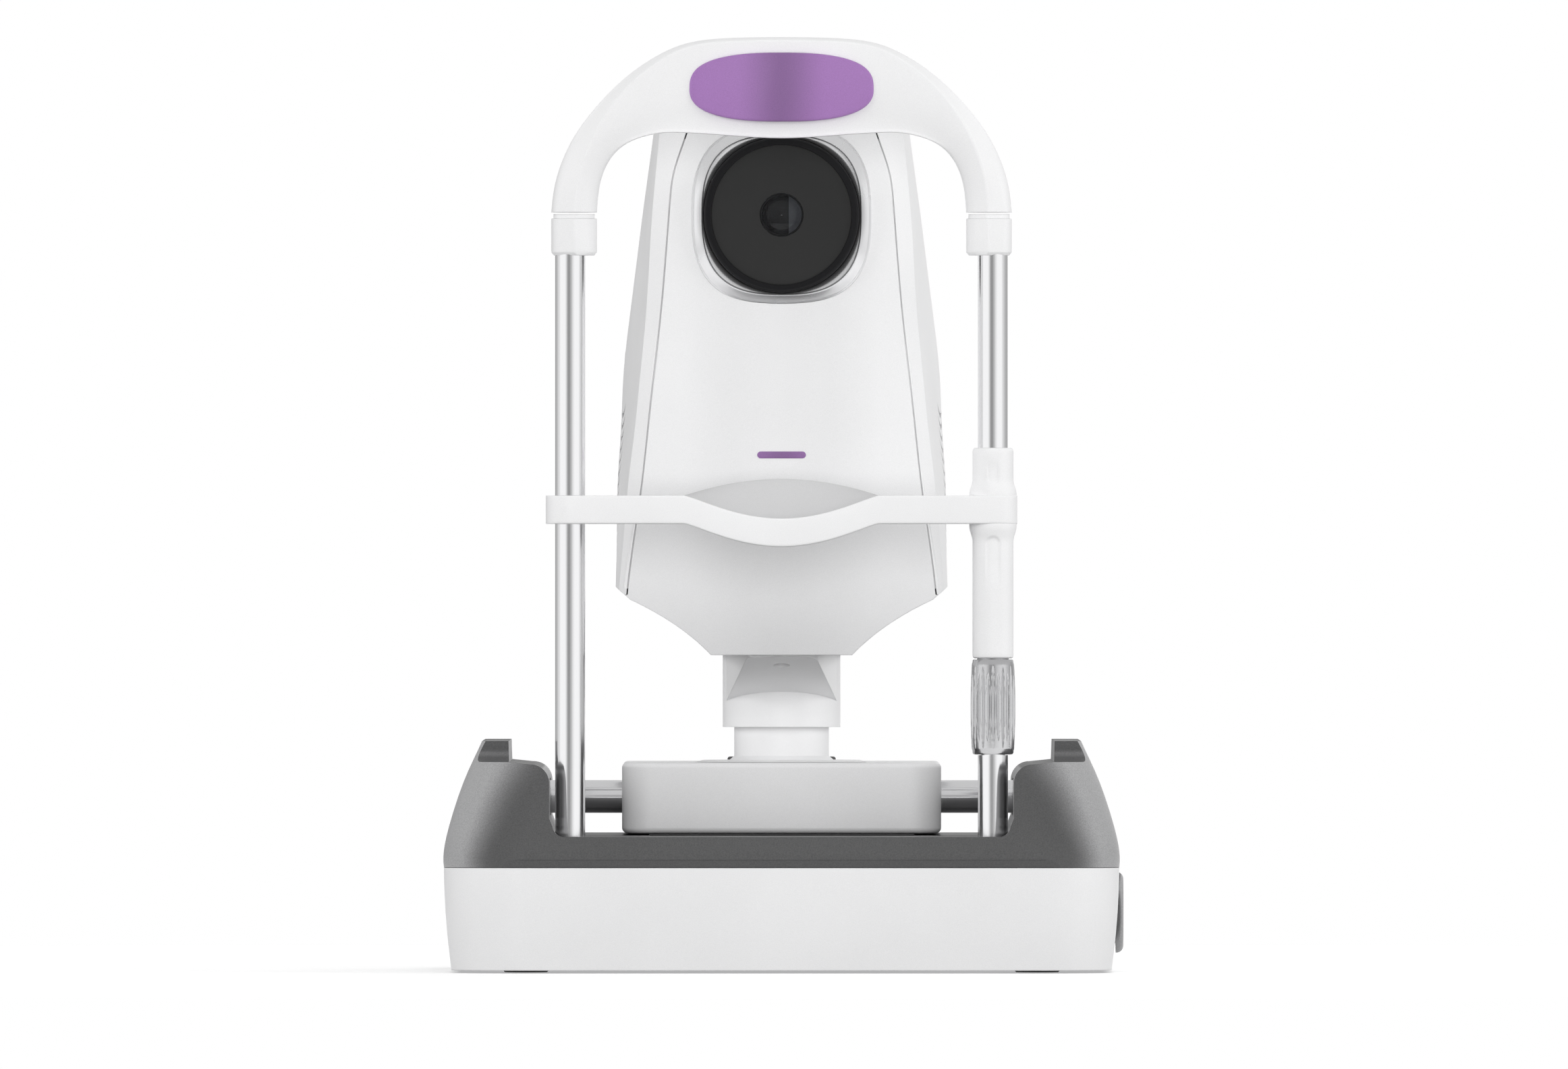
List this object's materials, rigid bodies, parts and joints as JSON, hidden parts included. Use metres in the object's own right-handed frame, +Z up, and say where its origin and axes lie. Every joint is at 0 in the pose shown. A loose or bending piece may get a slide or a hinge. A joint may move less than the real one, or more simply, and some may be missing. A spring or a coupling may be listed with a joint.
{
  "type": "ophthalmic measuring instrument",
  "caption": "Table-top eye measuring instrument: measuring head on a joystick-driven cross slide, with a chin rest and forehead rest for the patient.",
  "frame": {"origin": "centre of the base's footprint, on the table top, at the underside of the rubber feet", "axes": "+Z up; -Y towards the patient, +Y towards the operator; +X to the patient's left, which is the right-hand side seen from the front"},
  "size_m": [0.3359, 0.3713, 0.4608],
  "materials": {
    "white_shell": "white moulded plastic with a fine eggshell grain",
    "deck_grey": "dark grey moulded plastic, finely textured",
    "white_metal": "white powder coat",
    "steel_tube": "polished stainless steel",
    "knob_metal": "satin turned aluminium with long flutes",
    "steel": "machined steel",
    "cast_alloy": "milled aluminium",
    "black_plastic": "black moulded plastic",
    "black_gloss": "glossy black",
    "black_matte": "matte black anodised look",
    "silver_rim": "satin silver",
    "lens_glass": "coated optical glass",
    "splitter_glass": "half-silvered plate",
    "purple_pad": "purple soft pad with a fine texture",
    "rubber_black": "black rubber",
    "display_glass": "dark cover glass",
    "board_green": "circuit board",
    "brass": "turned bronze",
    "pinion_steel": "hobbed steel"
  },
  "bodies": {
    "base": {"base_housing": "white_shell", "base_plate": "steel", "rubber_feet": "rubber_black", "base_screws": "steel", "chassis_plate": "steel", "deck_cover": "deck_grey", "glide_plate": "black_plastic", "toothed_racks": "steel", "guide_rails": "steel", "power_supply": "cast_alloy", "control_board": "board_green", "power_inlet": "black_plastic", "lock_hub": "black_plastic", "column_left": "steel_tube", "column_right": "steel_tube", "eye_level_collars": "white_shell", "forehead_arch": "white_shell", "forehead_pad": "purple_pad"},
    "stage_lock": {"stage_lock_dial": "deck_grey"},
    "power_switch": {"power_rocker": "black_gloss"},
    "chin_rest": {"chin_rest_arm": "white_shell"},
    "height_adjuster": {"height_knob": "knob_metal", "height_screw": "steel"},
    "cross_slide": {"end_blocks": "cast_alloy"},
    "axle": {"axle_shaft": "steel_tube", "pinions": "pinion_steel"},
    "carriage": {"carriage_housing": "white_shell", "carriage_base": "cast_alloy", "axle_bushes": "brass", "glide_pads": "black_plastic", "lift_motor": "black_matte", "lift_column": "white_metal", "joystick_seat": "black_plastic"},
    "lift_drive": {"lift_screw": "steel"},
    "head": {"support_arm": "white_metal", "arm_screw": "steel", "lift_nut": "brass", "head_frame": "cast_alloy", "front_cover": "white_shell", "side_cover_left": "white_shell", "side_cover_right": "white_shell", "rear_cover": "white_shell", "lens_bezel": "silver_rim", "lens_barrel": "black_gloss", "front_disc": "black_matte", "objective_lens": "lens_glass", "lens_tube": "black_matte", "beam_splitter": "splitter_glass", "optics_block": "cast_alloy", "camera_module": "black_matte", "main_board": "board_green", "display_frame": "black_plastic", "display_panel": "display_glass"},
    "gimbal": {"gimbal_ring": "brass"},
    "joystick": {"joystick_stick": "steel", "joystick_grip": "black_plastic", "joystick_dome": "black_plastic"},
    "height_ring": {"lift_ring": "black_plastic"},
    "trigger": {"trigger_button": "deck_grey"}
  },
  "joints": [
    {"name": "stage_lock_turn", "type": "hinge", "parent": "base", "child": "stage_lock", "pos_m": [0.165, -0.06, 0.0288], "axis": [1, 0, 0], "range_deg": [0, 90]},
    {"name": "power_switch_rock", "type": "hinge", "parent": "base", "child": "power_switch", "pos_m": [0.08, 0.182, 0.028], "axis": [1, 0, 0], "range_deg": [-12, 0]},
    {"name": "chin_rest_height", "type": "slide", "parent": "base", "child": "chin_rest", "axis": [0, 0, 1], "range_m": [0, 0.055]},
    {"name": "height_knob_turn", "type": "hinge", "parent": "base", "child": "height_adjuster", "pos_m": [0.1042, -0.155, 0.13], "axis": [0, 0, 1], "range_deg": [-1, 3301]},
    {"name": "depth_travel", "type": "slide", "parent": "base", "child": "cross_slide", "axis": [0, 1, 0], "range_m": [-0.022, 0.03]},
    {"name": "axle_roll", "type": "hinge", "parent": "cross_slide", "child": "axle", "pos_m": [0, -0.028, 0.0859], "axis": [1, 0, 0], "range_deg": [-192, 141]},
    {"name": "cross_travel", "type": "slide", "parent": "cross_slide", "child": "carriage", "axis": [1, 0, 0], "range_m": [-0.032, 0.032]},
    {"name": "lift_screw_turn", "type": "hinge", "parent": "carriage", "child": "lift_drive", "pos_m": [0, 0.01, 0.09], "axis": [0, 0, 1], "range_deg": [-1009, 1441]},
    {"name": "head_lift", "type": "slide", "parent": "carriage", "child": "head", "axis": [0, 0, 1], "range_m": [-0.014, 0.02]},
    {"name": "joystick_fore_aft", "type": "hinge", "parent": "carriage", "child": "gimbal", "pos_m": [0, 0.122, 0.09], "axis": [1, 0, 0], "range_deg": [-10, 10], "stiffness_Nm_per_rad": 0.6},
    {"name": "joystick_side", "type": "hinge", "parent": "gimbal", "child": "joystick", "pos_m": [0, 0.122, 0.09], "axis": [0, 1, 0], "range_deg": [-10, 10], "stiffness_Nm_per_rad": 0.6},
    {"name": "height_ring_turn", "type": "hinge", "parent": "joystick", "child": "height_ring", "pos_m": [0, 0.122, 0.1316], "axis": [0, 0, 1], "range_deg": [-505, 721]},
    {"name": "trigger_press", "type": "slide", "parent": "joystick", "child": "trigger", "axis": [0, 0, -1], "range_m": [0, 0.002], "stiffness_N_per_m": 400}
  ],
  "couplings": [
    {"joint": "height_knob_turn", "follows": "chin_rest_height", "rad_per_m": 1047.2},
    {"joint": "axle_roll", "follows": "depth_travel", "rad_per_m": -111.11},
    {"joint": "lift_screw_turn", "follows": "head_lift", "rad_per_m": 1256.6},
    {"joint": "height_ring_turn", "follows": "head_lift", "rad_per_m": 628.32}
  ]
}
